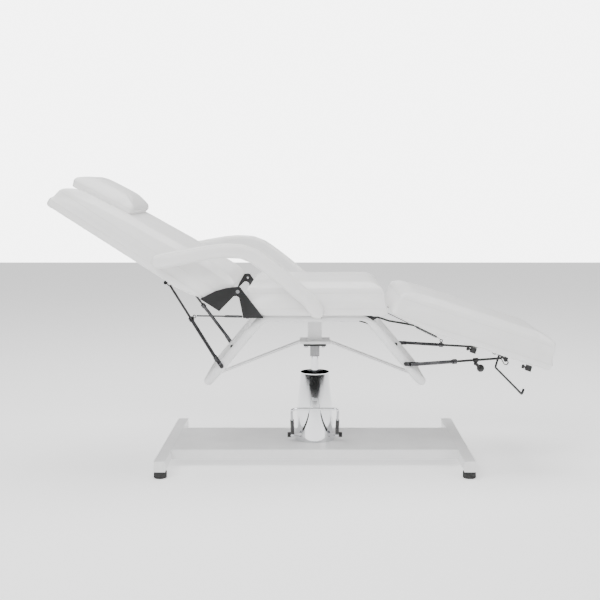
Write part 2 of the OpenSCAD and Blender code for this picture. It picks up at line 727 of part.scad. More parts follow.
// Sprung latch pin with a pull ring.
module pull_ring(p, q, len) {
  along(p, q) translate([len - 7, 0, 0]) union() {
    translate([0, 0, 4.5]) cylinder(h = 6, r = 1.9);
    translate([0, 0, 8.9]) cylinder(h = 2.4, r = 3.4);
    translate([0, 0, 16]) rotate([90, 0, 0]) rotate_extrude() translate([4.9, 0]) circle(1.6, $fn = 20);
  }
}
module back_pull_ring() { color([0.1, 0.1, 0.1]) place() pull_ring(back_p, back_q, 202); }
module leg_pull_ring() { color([0.1, 0.1, 0.1]) place() on_side(far) pull_ring(leg_p, leg_q, 190); }

// Lock lever with a ball end on the near leg strut.
module lock_lever() {
  color([0.06, 0.06, 0.06]) place() along(leg_p, leg_q) translate([266, 0, -12]) union() {
    rotate([90, 0, 0]) translate([0, 0, -5.5]) cylinder(h = 11, r = 2.5);
    for (s = [-1, 1]) difference() {
      rotate([90, 0, 0]) translate([0, 0, s > 0 ? 2.4 : -5]) linear_extrude(2.6) stadium(14, -42, 4.5);
      translate([0, 0, 0]) rotate([90, 0, 0]) translate([0, 0, -10]) cylinder(h = 20, r = 2.4);
    }
    rotate([0, 42, 0]) translate([10.5, 0, 0]) rotate([0, 90, 0]) cylinder(h = 12, r1 = 5, r2 = 8);
    rotate([0, 42, 0]) translate([26, 0, 0]) sphere(r = 13);
  }
}

// ---------------------------------------------------------------- leg rest

// Plywood board under the leg cushion.
module leg_board() {
  color([0.85, 0.84, 0.82]) place() on_leg() translate([130, -234, 8.6]) cube([460, 468, 12]);
}

// Leg cushion profile, inset by e.
function leg_profile(e) = concat(
  arc(56 + e, 32 + e, 13, 180, 280, 5), [[190, 0.6 + e], [560, 0.6 + e]],
  arc(599 - e, 19.5 + e, 18, 280, 355, 5), arc(606 - e, 95 - e, 14, 0, 86, 6),
  [[400, 112 - e], [180, 112 - e]], arc(67 + e, 84 - e, 25, 95, 180, 6));

// Leg cushion with a recess for its board.
module leg_cushion() {
  h = cushion_half;
  color([0.97, 0.97, 0.97]) place() on_leg() difference() {
    union() {
      slab(leg_profile(0), -h + 14, h - 14);
      slab(leg_profile(3), -h + 5, -h + 14);
      slab(leg_profile(3), h - 14, h - 5);
      slab(leg_profile(9), -h, -h + 5);
      slab(leg_profile(9), h - 5, h);
    }
    translate([129, -235, -20]) cube([462, 470, 40.6]);
  }
}

// Black hinge straps from the pivot pins to the leg board.
module leg_hinge_straps() {
  color([0.08, 0.08, 0.08]) place() on_leg() for (s = [near, far]) on_side(s) difference() {
    union() {
      y_bar(0, 0, 8, -216.5, -203.5);
      slab([[0, -8], [48, -8], [96, -1], [148, 5.6], [148, 8.6], [131, 8.4], [90, 4], [48, -2.5], [0, -2.5]],
        -216.5, -203.5);
    }
    y_bar(0, 0, 4.05, -260, -160);
  }
}

// Cross bar under the leg board that carries the upper ends of the leg struts.
module leg_strut_bar() {
  color([0.08, 0.08, 0.08]) place() on_leg() union() {
    y_bar(leg_bar[0], leg_bar[1], bar_r, -152, 152);
    for (y = [-151, -2.5, 146]) slab_of(y, y + 5) union() {
      translate(leg_bar) circle(6.5);
      translate([leg_bar[0] - 6.5, leg_bar[1]]) square([13, 8.4 - leg_bar[1]]);
    }
  }
}

// Four black accessory sockets under the edges of the leg rest.
module accessory_sockets() {
  color([0.05, 0.05, 0.05]) place() on_leg() for (s = [near, far], x = socket_x) on_side(s) difference() {
    translate([x - 9, -socket_y - 9, -18]) cube([18, 18, 18.6]);
    translate([x, -socket_y, -20]) cylinder(h = 17, r = holder_bore_r);
    translate([x - 12, -socket_y, -9]) rotate([0, 90, 0]) cylinder(h = 12, r = 3.1);
  }
}

// Thumb screws that clamp what is plugged into the sockets.
module thumb_screws() {
  color([0.05, 0.05, 0.05]) place() on_leg() for (s = [near, far], x = socket_x) on_side(s) union() {
    translate([x - 23, -socket_y, -9]) rotate([0, 90, 0]) cylinder(h = 9, r = 7);
    translate([x - 15, -socket_y, -9]) rotate([0, 90, 0]) cylinder(h = 10, r = 3);
  }
}

// Bent wire holder plugged into the far foot-end socket.
module roll_holder() {
  x = socket_x[1];
  drop = -96;
  bend = 14;
  tip = 10;
  tip_y = -262;
  color([0.12, 0.12, 0.12]) place() on_leg() translate([x, 0, 0]) union() {
    translate([0, socket_y, drop + bend]) cylinder(h = -4 - drop - bend, r = holder_r);
    translate([0, socket_y - bend, drop + bend]) rotate([90, 0, 90]) rotate([0, 0, -90])
      rotate_extrude(angle = 90) translate([bend, 0]) circle(holder_r);
    y_bar(0, drop, holder_r, tip_y + tip, socket_y - bend);
    translate([0, tip_y + tip, drop + tip]) rotate([90, 0, 90]) rotate([0, 0, 180])
      rotate_extrude(angle = 90) translate([tip, 0]) circle(holder_r);
    translate([0, tip_y, drop + tip]) cylinder(h = 9, r = holder_r);
  }
}

// ---------------------------------------------------------------- springs

// Close-wound extension spring with a straight hook rod of radius wire.
module spring(p, q, coil, r, wire) {
  len = norm(q - p);
  along(p, q) union() {
    rotate([0, 90, 0]) cylinder(h = len, r = wire);
    for (i = [0:coil / 5]) translate([len - 10 - i * 5, 0, 0]) rotate([0, 90, 0]) cylinder(h = 3.4, r = r);
    translate([len - coil - 12, 0, 0]) rotate([0, 90, 0]) cylinder(h = coil + 6, r = r - 0.8);
  }
}
module back_spring() {
  color([0.3, 0.3, 0.3]) place() spring([-402, -196, 524.4], [-236.5, -222, 525.2], 62, 4, 2.6);
}
module leg_spring() {
  color([0.3, 0.3, 0.3]) place() spring([205, 200.5, 518.6], [473, 186, 388.5], 88, 4.2, 1.6);
}

base_pan();
cross_tube_head();
cross_tube_foot();
tube_end_caps();
rubber_feet();
pump_flange();
pump_cylinder();
pump_shroud();
pump_bolts();
pedal_loop();
pedal_axle();
pedal_end_sleeves();
piston_rod();
swivel_collar();
mounting_plate();
mounting_bolts();
seat_post();
truss_bars();
frame_near();
frame_far();
frame_foot_bars();
frame_ties();
seat_board();
seat_cushion();
seat_hinge_plates();
hinge_bolts();
strut_bolts();
arm_brackets();
leg_hinge_pins();
back_board();
back_cushion();
back_hinge_plates();
back_strut_bar();
arm_slide_pins();
head_pillow();
armrest_near();
armrest_far();
arm_bar_near();
arm_bar_far();
back_tube_near();
back_tube_far();
back_rod_near();
back_rod_far();
leg_tube_near();
leg_tube_far();
leg_rod_near();
leg_rod_far();
back_pull_ring();
leg_pull_ring();
lock_lever();
leg_board();
leg_cushion();
leg_hinge_straps();
leg_strut_bar();
accessory_sockets();
thumb_screws();
roll_holder();
back_spring();
leg_spring();
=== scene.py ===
import json
import math

import bmesh
import bpy
import numpy as np
from mathutils import Matrix, Vector

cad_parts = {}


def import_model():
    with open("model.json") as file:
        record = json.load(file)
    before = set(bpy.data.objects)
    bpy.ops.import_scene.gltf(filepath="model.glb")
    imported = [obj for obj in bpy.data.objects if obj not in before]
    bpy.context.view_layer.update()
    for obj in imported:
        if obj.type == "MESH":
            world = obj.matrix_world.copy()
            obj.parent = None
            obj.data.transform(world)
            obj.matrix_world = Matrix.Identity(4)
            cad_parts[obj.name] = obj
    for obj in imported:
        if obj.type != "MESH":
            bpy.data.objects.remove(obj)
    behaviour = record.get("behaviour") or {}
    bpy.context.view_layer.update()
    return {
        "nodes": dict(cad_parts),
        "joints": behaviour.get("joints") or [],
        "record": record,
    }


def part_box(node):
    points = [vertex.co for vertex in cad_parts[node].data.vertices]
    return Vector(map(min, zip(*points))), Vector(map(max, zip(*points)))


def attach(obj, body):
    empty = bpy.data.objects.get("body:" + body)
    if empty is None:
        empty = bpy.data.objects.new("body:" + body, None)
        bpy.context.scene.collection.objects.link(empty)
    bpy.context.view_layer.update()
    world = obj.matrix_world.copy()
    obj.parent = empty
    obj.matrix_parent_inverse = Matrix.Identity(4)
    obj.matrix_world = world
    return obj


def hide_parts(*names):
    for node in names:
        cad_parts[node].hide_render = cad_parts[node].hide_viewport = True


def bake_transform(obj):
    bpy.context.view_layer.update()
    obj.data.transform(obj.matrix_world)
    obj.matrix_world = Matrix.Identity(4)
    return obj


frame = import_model()
NODES = frame["nodes"]

# ------------------------------------------------------------------ frames of the moving sections
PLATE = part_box("mounting_plate")
COLUMN_X = (PLATE[0].x + PLATE[1].x) / 2


def joint_pos(name):
    """Point on the axis of a hinge, in metres."""
    for j in frame["joints"]:
        if j["name"] == name:
            return Vector(j["pos_m"])
    raise ValueError(name)


BACK_ANGLE = math.radians(32.5)
LEG_ANGLE = math.radians(18.0)
PILLOW_ANGLE = math.radians(5.2)
BACK = Matrix.Translation(joint_pos("back_recline")) @ Matrix.Rotation(BACK_ANGLE, 4, "Y")
LEG = Matrix.Translation(joint_pos("leg_tilt")) @ Matrix.Rotation(LEG_ANGLE, 4, "Y")
PILLOW = BACK @ Matrix.Translation((-0.567, 0, -0.0032)) @ Matrix.Rotation(-PILLOW_ANGLE, 4, "Y")
SEAT = Matrix.Translation((COLUMN_X, 0, 0))


# ------------------------------------------------------------------ materials
class Shader:
    """A small builder for one node material."""

    def __init__(self, name):
        self.mat = bpy.data.materials.new(name)
        self.mat.use_nodes = True
        self.nodes = self.mat.node_tree.nodes
        self.links = self.mat.node_tree.links
        self.bsdf = self.nodes["Principled BSDF"]
        self.coord = self.nodes.new("ShaderNodeTexCoord").outputs["Object"]

    def set(self, **values):
        for key, value in values.items():
            self.bsdf.inputs[key.replace("_", " ")].default_value = value
        return self

    def stretch(self, scale):
        """Object coordinates scaled by a vector."""
        node = self.nodes.new("ShaderNodeMapping")
        node.inputs["Scale"].default_value = scale
        self.links.new(self.coord, node.inputs["Vector"])
        return node.outputs["Vector"]

    def noise(self, scale, detail=3.0, rough=0.5, vector=None):
        node = self.nodes.new("ShaderNodeTexNoise")
        node.inputs["Scale"].default_value = scale
        node.inputs["Detail"].default_value = detail
        node.inputs["Roughness"].default_value = rough
        self.links.new(vector or self.coord, node.inputs["Vector"])
        return node.outputs["Fac"]

    def voronoi(self, scale, feature="F1", vector=None):
        node = self.nodes.new("ShaderNodeTexVoronoi")
        node.feature = feature
        node.inputs["Scale"].default_value = scale
        self.links.new(vector or self.coord, node.inputs["Vector"])
        return node.outputs["Distance"]

    def wave(self, scale, direction="X", vector=None):
        node = self.nodes.new("ShaderNodeTexWave")
        node.bands_direction = direction
        node.inputs["Scale"].default_value = scale
        self.links.new(vector or self.coord, node.inputs["Vector"])
        return node.outputs["Fac"]

    def edges(self):
        """How sharp an outside edge is, from 0 to 1."""
        geo = self.nodes.new("ShaderNodeNewGeometry")
        ramp = self.nodes.new("ShaderNodeMapRange")
        ramp.inputs["From Min"].default_value = 0.52
        ramp.inputs["From Max"].default_value = 0.62
        self.links.new(geo.outputs["Pointiness"], ramp.inputs["Value"])
        return ramp.outputs["Result"]

    def math(self, operation, a, b):
        node = self.nodes.new("ShaderNodeMath")
        node.operation = operation
        for socket, value in zip(node.inputs, (a, b)):
            if isinstance(value, (int, float)):
                socket.default_value = value
            else:
                self.links.new(value, socket)
        return node.outputs["Value"]

    def colour(self, factor, stops):
        """Base colour from a ramp."""
        ramp = self.nodes.new("ShaderNodeValToRGB")
        element = ramp.color_ramp.elements
        while len(element) < len(stops):
            element.new(0.5)
        for e, (at, rgb) in zip(element, stops):
            e.position = at
            e.color = (*rgb, 1)
        self.links.new(factor, ramp.inputs["Fac"])
        self.links.new(ramp.outputs["Color"], self.bsdf.inputs["Base Color"])
        return self

    def rough(self, factor, low, high):
        node = self.nodes.new("ShaderNodeMapRange")
        node.inputs["To Min"].default_value = low
        node.inputs["To Max"].default_value = high
        self.links.new(factor, node.inputs["Value"])
        self.links.new(node.outputs["Result"], self.bsdf.inputs["Roughness"])
        return self

    def bump(self, *layers):
        """Stacks height layers (height, metres, strength) into the normal."""
        last = None
        for height, metres, strength in layers:
            node = self.nodes.new("ShaderNodeBump")
            node.inputs["Strength"].default_value = strength
            node.inputs["Distance"].default_value = metres
            self.links.new(height, node.inputs["Height"])
            if last is not None:
                self.links.new(last, node.inputs["Normal"])
            last = node.outputs["Normal"]
        self.links.new(last, self.bsdf.inputs["Normal"])
        return self


def leather(name, light=0.86, warm=0.0):
    s = Shader(name)
    cells = s.voronoi(720, "DISTANCE_TO_EDGE")
    fine = s.noise(2600, 2)
    soft = s.noise(9, 3)
    crease = s.noise(55, 5, 0.62)
    a = (light, light - 0.004, light - 0.012 - warm)
    b = (light + 0.05, light + 0.047, light + 0.04 - warm)
    blend = s.math("ADD", s.math("MULTIPLY", soft, 0.75), s.math("MULTIPLY", crease, 0.25))
    s.colour(blend, [(0.3, a), (0.7, b)])
    s.rough(crease, 0.36, 0.52)
    s.bump((soft, 0.004, 0.35), (crease, 0.0008, 0.22), (cells, 0.0003, 0.28), (fine, 0.00008, 0.2))
    return s.set(Specular_IOR_Level=0.45, Sheen_Weight=0.08, Sheen_Roughness=0.4).mat


def paint(name, low, high, rough=(0.26, 0.36), wear=(0.5, 0.5, 0.5), level=0.25):
    s = Shader(name)
    peel = s.noise(420, 2)
    cloud = s.noise(14, 3)
    edge = s.math("MULTIPLY", s.edges(), s.noise(160, 4))
    mix = s.math("ADD", s.math("MULTIPLY", cloud, 0.6), s.math("MULTIPLY", edge, level))
    s.colour(mix, [(0.2, low), (0.55, high), (0.95, wear)])
    s.rough(cloud, *rough)
    s.bump((peel, 0.0002, 0.12), (s.noise(1900, 2), 0.00004, 0.15))
    return s.set(Specular_IOR_Level=0.5).mat


def metal(name, low, high, rough, grain=(40, 40, 900), depth=0.00004):
    s = Shader(name)
    brushed = s.noise(1, 4, 0.6, s.stretch(grain))
    cloud = s.noise(24, 3)
    s.colour(cloud, [(0.3, low), (0.7, high)])
    s.rough(s.math("ADD", s.math("MULTIPLY", cloud, 0.5), s.math("MULTIPLY", brushed, 0.5)), *rough)
    s.bump((brushed, depth, 0.2), (s.noise(300, 3), 0.00005, 0.1))
    return s.set(Metallic=1.0).mat


def plastic(name, low, high, rough=(0.3, 0.5)):
    s = Shader(name)
    cloud = s.noise(60, 3)
    s.colour(cloud, [(0.3, low), (0.7, high)])
    s.rough(cloud, *rough)
    s.bump((s.voronoi(1500), 0.00006, 0.25), (cloud, 0.0003, 0.1))
    return s.set(Specular_IOR_Level=0.45).mat


def rubber(name):
    s = Shader(name)
    dust = s.noise(120, 5, 0.7)
    s.colour(dust, [(0.35, (0.012, 0.012, 0.012)), (0.75, (0.035, 0.034, 0.033))])
    s.rough(dust, 0.6, 0.85)
    s.bump((s.noise(900, 3), 0.0002, 0.35), (s.wave(160, "Z"), 0.0002, 0.1))
    return s.mat


def lining(name):
    """Non-woven lining stapled over the boards."""
    s = Shader(name)
    warp = s.wave(330, "X")
    weft = s.wave(330, "Y")
    fibre = s.noise(700, 5, 0.7)
    s.colour(s.math("MULTIPLY", s.math("ADD", warp, weft), s.math("MULTIPLY", fibre, 0.8)),
             [(0.2, (0.62, 0.61, 0.6)), (0.8, (0.76, 0.75, 0.74))])
    s.rough(fibre, 0.8, 0.95)
    s.bump((s.math("MULTIPLY", warp, weft), 0.0004, 0.4), (fibre, 0.0003, 0.4))
    return s.set(Sheen_Weight=0.2).mat


M = {
    "upholstery": leather("white_leather"),
    "seam": leather("seam_leather", 0.8, 0.004),
    "board": lining("board_lining"),
    "white_paint": paint("white_enamel", (0.78, 0.78, 0.785), (0.86, 0.86, 0.86), wear=(0.7, 0.7, 0.7)),
    "black_paint": paint("black_enamel", (0.006, 0.006, 0.006), (0.014, 0.014, 0.015), (0.3, 0.45),
                         (0.08, 0.08, 0.08)),
    "chrome": metal("chrome_plate", (0.74, 0.75, 0.77), (0.82, 0.83, 0.84), (0.03, 0.09),
                    (60, 60, 200), 0.00001),
    "steel": metal("zinc_steel", (0.5, 0.5, 0.52), (0.66, 0.66, 0.67), (0.22, 0.38)),
    "grey_metal": metal("cast_collar", (0.3, 0.3, 0.31), (0.42, 0.42, 0.43), (0.35, 0.55),
                        (300, 300, 300), 0.0002),
    "black_rubber": rubber("black_rubber"),
    "black_plastic": plastic("black_plastic", (0.01, 0.01, 0.01), (0.022, 0.022, 0.022)),
    "white_plastic": plastic("white_plastic", (0.78, 0.78, 0.78), (0.84, 0.84, 0.83)),
    "wire": metal("dark_wire", (0.03, 0.03, 0.032), (0.07, 0.07, 0.073), (0.22, 0.36)),
    # chrome for the struts: base colour lowered to near black, painted dark reflections standing in for the
    # dark surroundings the real chrome mirrors
    "chrome_painted_dark": metal("chrome_painted_dark", (0.05, 0.05, 0.053), (0.09, 0.09, 0.094), (0.1, 0.2), (40, 40, 600)),
    "spring_steel": metal("spring_steel", (0.07, 0.07, 0.075), (0.16, 0.16, 0.165), (0.25, 0.4)),
}
M["weld"] = paint("weld_enamel", (0.74, 0.74, 0.745), (0.84, 0.84, 0.84), (0.3, 0.45), (0.66, 0.66, 0.66))

for entry in frame["record"]["subparts"]:
    data = NODES[entry["node"]].data
    data.materials.clear()
    # back and leg strut tubes get the chrome whose dark reflections are painted into its base colour
    strut = entry["node"].startswith(("back_tube", "leg_tube"))
    data.materials.append(M["chrome_painted_dark" if strut else entry["material_slot"]])


# ------------------------------------------------------------------ mesh helpers
def mesh_object(name, verts, faces, material, smooth=True):
    mesh = bpy.data.meshes.new(name)
    mesh.from_pydata([tuple(v) for v in verts], [], faces)
    mesh.validate()
    mesh.update()
    obj = bpy.data.objects.new(name, mesh)
    bpy.context.scene.collection.objects.link(obj)
    mesh.materials.append(material)
    if smooth:
        mesh.polygons.foreach_set("use_smooth", [True] * len(mesh.polygons))
    return obj


def tube(name, points, radius, material, closed=False, sides=10, wobble=0.0):
    """Round tube along points, with rotation-minimising rings."""
    pts = [Vector(p) for p in points]
    n = len(pts)
    verts, faces = [], []
    normal = None
    for i, p in enumerate(pts):
        a = pts[(i - 1) % n] if closed or i > 0 else p
        b = pts[(i + 1) % n] if closed or i < n - 1 else p
        t = (b - a).normalized()
        if normal is None:
            normal = t.orthogonal().normalized()
        normal = (normal - t * normal.dot(t)).normalized()
        side = t.cross(normal)
        r = radius * (1 + wobble * math.sin(i * 2.4) * math.cos(i * 1.1))
        for k in range(sides):
            w = 2 * math.pi * k / sides
            verts.append(p + normal * math.cos(w) * r + side * math.sin(w) * r)
    for i in range(n if closed else n - 1):
        j = (i + 1) % n
        for k in range(sides):
            m = (k + 1) % sides
            faces.append((i * sides + k, i * sides + m, j * sides + m, j * sides + k))
    if not closed:
        faces.append(tuple(range(sides - 1, -1, -1)))
        faces.append(tuple((n - 1) * sides + k for k in range(sides)))
    return mesh_object(name, verts, faces, material)


def lathe(name, profile, frame_matrix, material, sides=48, knurl=0.0, knurled=()):
    """Turned piece: profile of (radius, height), closed on the axis."""
    verts, faces = [], []
    for i, (r, z) in enumerate(profile):
        for k in range(sides):
            w = 2 * math.pi * k / sides
            rr = r - (knurl if i in knurled and k % 2 else 0.0)
            verts.append(frame_matrix @ Vector((rr * math.cos(w), rr * math.sin(w), z)))
    for i in range(len(profile) - 1):
        for k in range(sides):
            m = (k + 1) % sides
            faces.append((i * sides + k, i * sides + m, (i + 1) * sides + m, (i + 1) * sides + k))
    faces.append(tuple(range(sides - 1, -1, -1)))
    faces.append(tuple((len(profile) - 1) * sides + k for k in range(sides)))
    return mesh_object(name, verts, faces, material)


def co_array(mesh):
    co = np.empty(len(mesh.vertices) * 3)
    mesh.vertices.foreach_get("co", co)
    return co.reshape(-1, 3)


def put_co(mesh, co):
    mesh.vertices.foreach_set("co", co.reshape(-1))
    mesh.update()


def local(co, matrix):
    inv = np.array(matrix.inverted())
    return co @ inv[:3, :3].T + inv[:3, 3]


def world(co, matrix):
    m = np.array(matrix)
    return co @ m[:3, :3].T + m[:3, 3]


def join(name, objects):
    """Joins several meshes of one material into one piece."""
    for o in bpy.context.selected_objects:
        o.select_set(False)
    for o in objects:
        o.select_set(True)
    bpy.context.view_layer.objects.active = objects[0]
    bpy.ops.object.join()
    objects[0].name = name
    objects[0].data.name = name
    return objects[0]


# ------------------------------------------------------------------ upholstery
def relax(obj, steps, factor, hold):
    """Laplacian smoothing of the vertices whose hold is 0."""
    mesh = obj.data
    edges = np.empty(len(mesh.edges) * 2, dtype=np.int64)
    mesh.edges.foreach_get("vertices", edges)
    edges = edges.reshape(-1, 2)
    co = co_array(mesh)
    count = np.zeros(len(co))
    np.add.at(count, edges[:, 0], 1)
    np.add.at(count, edges[:, 1], 1)
    for _ in range(steps):
        total = np.zeros_like(co)
        np.add.at(total, edges[:, 0], co[edges[:, 1]])
        np.add.at(total, edges[:, 1], co[edges[:, 0]])
        mean = total / count[:, None]
        co += (mean - co) * (factor * (1 - hold))[:, None]
    put_co(mesh, co)


def cushion(node, name, body, matrix, voxel, held, inset, cap, pressure, limit=None):
    """Padded piece grown from a CAD solid: remeshed, pulled in a little, then inflated as cloth."""
    source = NODES[node]
    obj = bpy.data.objects.new(name, source.data.copy())
    obj.data.name = name
    bpy.context.scene.collection.objects.link(obj)
    mod = obj.modifiers.new("remesh", "REMESH")
    mod.mode = "VOXEL"
    mod.voxel_size = voxel
    mod.use_smooth_shade = True
    apply_all(obj)
    co = local(co_array(obj.data), matrix)
    hold = np.clip(held(co), 0, 1)
    relax(obj, 6, 0.5, hold)
    normals = np.empty(len(obj.data.vertices) * 3)
    obj.data.vertices.foreach_get("normal", normals)
    start = co_array(obj.data) - normals.reshape(-1, 3) * (inset * (1 - hold))[:, None]
    put_co(obj.data, start)
    group = obj.vertex_groups.new(name="pin")
    for level in (1.0, 0.6, 0.3):
        near = np.nonzero(np.abs(hold - level) < 0.15)[0]
        group.add([int(i) for i in near], level, "REPLACE")
    cloth = obj.modifiers.new("cloth", "CLOTH")
    cloth.settings.quality = 4
    cloth.settings.mass = 0.25
    cloth.settings.use_pressure = True
    cloth.settings.uniform_pressure_force = pressure
    cloth.settings.tension_stiffness = 14
    cloth.settings.compression_stiffness = 14
    cloth.settings.shear_stiffness = 6
    cloth.settings.bending_stiffness = 1.2
    cloth.settings.effector_weights.gravity = 0
    cloth.settings.vertex_group_mass = "pin"
    cloth.point_cache.frame_start = 1
    cloth.point_cache.frame_end = 20
    for f in range(1, 21):
        bpy.context.scene.frame_set(f)
    shaped = obj.evaluated_get(bpy.context.evaluated_depsgraph_get()).to_mesh()
    moved = co_array(shaped) - start
    length = np.linalg.norm(moved, axis=1)
    scale = np.where(length > 1e-9, cap * np.tanh(length / cap) / np.maximum(length, 1e-9), 1.0)
    final = start + moved * scale[:, None]
    obj.modifiers.remove(cloth)
    obj.vertex_groups.clear()
    bpy.context.scene.frame_set(1)
    put_co(obj.data, final)
    relax(obj, 3, 0.5, hold)
    if limit is not None:
        put_co(obj.data, world(limit(local(co_array(obj.data), matrix)), matrix))
    obj.data.materials.clear()
    obj.data.materials.append(M["upholstery"])
    obj.data.polygons.foreach_set("use_smooth", [True] * len(obj.data.polygons))
    sub = obj.modifiers.new("subdivision", "SUBSURF")
    sub.levels = 1
    sub.render_levels = 1
    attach(obj, body)
    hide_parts(node)
    return obj


def apply_all(obj):
    """Replaces the mesh with its modified shape and clears the modifiers."""
    bpy.context.view_layer.update()
    shaped = bpy.data.meshes.new_from_object(obj.evaluated_get(bpy.context.evaluated_depsgraph_get()))
    obj.modifiers.clear()
    obj.data = shaped


def seam(cushion_object, name, body, matrix, height, axis=(0, 0, 1), radius=0.0011, step=0.006):
    """Stitched seam where a plane of the given height cuts the cushion's skin."""
    bm = bmesh.new()
    bm.from_mesh(cushion_object.data)
    normal = (matrix.to_3x3() @ Vector(axis)).normalized()
    origin = matrix @ (Vector(axis) * height)
    skin = bm.verts[:] + bm.edges[:] + bm.faces[:]
    cut = bmesh.ops.bisect_plane(bm, geom=skin, plane_co=origin, plane_no=normal)
    links = {}
    for edge in (g for g in cut["geom_cut"] if isinstance(g, bmesh.types.BMEdge)):
        a, b = (tuple(round(c, 7) for c in v.co) for v in edge.verts)
        if a != b:
            links.setdefault(a, []).append(b)
            links.setdefault(b, []).append(a)
    bm.free()
    best, seen = [], set()
    for first in sorted(links):
        if first in seen:
            continue
        chain, current = [first], first
        seen.add(first)
        while True:
            ahead = [p for p in links[current] if p not in seen]
            if not ahead:
                break
            current = ahead[0]
            seen.add(current)
            chain.append(current)
        if len(chain) > len(best):
            best = chain
    pts = np.array(best)
    for _ in range(3):
        pts = 0.5 * pts + 0.25 * (np.roll(pts, 1, 0) + np.roll(pts, -1, 0))
    closed = np.vstack([pts, pts[:1]])
    run = np.concatenate([[0], np.cumsum(np.linalg.norm(np.diff(closed, axis=0), axis=1))])
    count = max(12, int(run[-1] / step))
    at = np.linspace(0, run[-1], count, endpoint=False)
    ring = np.stack([np.interp(at, run, closed[:, i]) for i in range(3)], axis=1)
    obj = tube(name, ring, radius, M["seam"], closed=True, sides=8, wobble=0.18)
    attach(obj, body)
    return obj


def side_limit(y_max, z_min=None):
    def apply(co):
        co[:, 1] = np.clip(co[:, 1], -y_max, y_max)
        if z_min is not None:
            co[:, 2] = np.maximum(co[:, 2], z_min)
        return co
    return apply


def under(z, soft=0.012):
    """Held below the given height, free above it."""
    return lambda co: 1 - (co[:, 2] - z) / soft


seat = cushion("seat_cushion", "seat_pad", "seat", SEAT, 0.006, under(0.553), 0.006, 0.012, 4.0,
               side_limit(0.2499, 0.527))
back = cushion("back_cushion", "back_pad", "backrest", BACK, 0.006, under(-0.078), 0.006, 0.012, 4.0,
               side_limit(0.2499))
leg = cushion("leg_cushion", "leg_pad", "legrest", LEG, 0.006, under(0.026), 0.006, 0.012, 4.0,
              side_limit(0.2499))
pillow = cushion("head_pillow", "pillow_pad", "pillow", PILLOW, 0.005, under(0.001, 0.004),
                 0.006, 0.010, 4.0)

seam(seat, "seat_seam_top", "seat", SEAT, 0.606)
seam(seat, "seat_seam_low", "seat", SEAT, 0.5545)
seam(back, "back_seam_top", "backrest", BACK, -0.038)
seam(back, "back_seam_low", "backrest", BACK, -0.0775)
seam(leg, "leg_seam_top", "legrest", LEG, 0.084)
seam(leg, "leg_seam_low", "legrest", LEG, 0.0265)
seam(pillow, "pillow_seam", "pillow", PILLOW, 0.022, radius=0.0013)

for side, sign in (("near", -1), ("far", 1)):
    body = "arm_%s_side" % side
    flip = Matrix.Diagonal((1, sign, 1, 1))
    arm = cushion("armrest_" + side, "arm_pad_" + side, body, flip, 0.005,
                  lambda co: 1 - (co[:, 1] - 0.2580) / 0.006, 0.004, 0.006, 4.0)
    seam(arm, "arm_seam_%s_inner" % side, body, flip, 0.2700, (0, 1, 0))
    seam(arm, "arm_seam_%s_outer" % side, body, flip, 0.3000, (0, 1, 0))


# ------------------------------------------------------------------ springs
def spring(name, node, p, q, coil_from, coil_to, rod):
    """Close-wound extension spring behind a straight rod, hooked at both ends."""
    p, q = Vector(p), Vector(q)
    axis = (q - p).normalized()
    u = axis.orthogonal().normalized()
    v = axis.cross(u)
    radius, pitch, wire = 0.0036, 0.0021, 0.00095
    pts = [p.lerp(q, coil_from) - axis * 0.003]
    length = (q - p).length * (coil_to - coil_from)
    turns = length / pitch
    n = int(turns * 12)
    for i in range(n + 1):
        w = 2 * math.pi * turns * i / n
        grow = min(1.0, i / 8, (n - i) / 8)
        centre = p.lerp(q, coil_from) + axis * (length * i / n)
        pts.append(centre + (u * math.cos(w) + v * math.sin(w)) * radius * grow)
    pts += [p.lerp(q, coil_to) + axis * 0.003, q - axis * 0.002, q]
    coil = tube(name, pts, wire, M["spring_steel"], sides=6)
    shank = [p.lerp(q, coil_from * k / 12) for k in range(13)]
    obj = join(name, [coil, tube(name + "_rod", shank, rod, M["wire"], sides=12)])
    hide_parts(node)
    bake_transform(obj)
    return obj


c = COLUMN_X
spring("back_spring_coil", "back_spring",
       (c - 0.402, -0.196, 0.5244), (c - 0.2365, -0.222, 0.5252),
       0.58, 0.95, 0.0026)
spring("leg_spring_coil", "leg_spring",
       (c + 0.205, 0.2005, 0.5186), (c + 0.473, 0.186, 0.3885),
       0.67, 0.96, 0.0016)


# ------------------------------------------------------------------ turned and moulded small pieces
def leg_frame(x, y, z, turn):
    return LEG @ Matrix.Translation((x, y, z)) @ turn


screw_parts = []
for sx in (0.345, 0.540):
    for sy in (-0.237, 0.237):
        turn = Matrix.Rotation(math.radians(90), 4, "Y")
        profile = [(0.0052, 0.0), (0.0066, 0.0006), (0.0070, 0.0014), (0.0070, 0.0062), (0.0066, 0.0070),
                   (0.0048, 0.0076), (0.0048, 0.0082), (0.0030, 0.0084), (0.0030, 0.0186)]
        place = leg_frame(sx - 0.023, sy, -0.009, turn)
        screw_parts.append(lathe("screw", profile, place, M["black_plastic"], 48, 0.0006, (2, 3)))
screws = join("thumb_screw_set", screw_parts)
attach(screws, "legrest")
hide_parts("thumb_screws")

low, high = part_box("rubber_feet")
feet_parts = []
for fx in (low.x + 0.022, high.x - 0.022):
    for fy in (-0.287, 0.287):
        profile = [(0.0005, 0.0012), (0.0150, 0.0012), (0.0156, 0.0), (0.0196, 0.0), (0.0214, 0.0012),
                   (0.0220, 0.0035), (0.0220, 0.0090), (0.0212, 0.0096), (0.0212, 0.0108),
                   (0.0220, 0.0114), (0.0220, 0.0200),
                   (0.0210, 0.0218), (0.0185, 0.0232), (0.0050, 0.0234), (0.0050, 0.0350), (0.0005, 0.0352)]
        feet_parts.append(lathe("foot", profile, Matrix.Translation((fx, fy, 0)), M["black_rubber"], 56))
feet = join("moulded_feet", feet_parts)
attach(feet, "base")
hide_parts("rubber_feet")


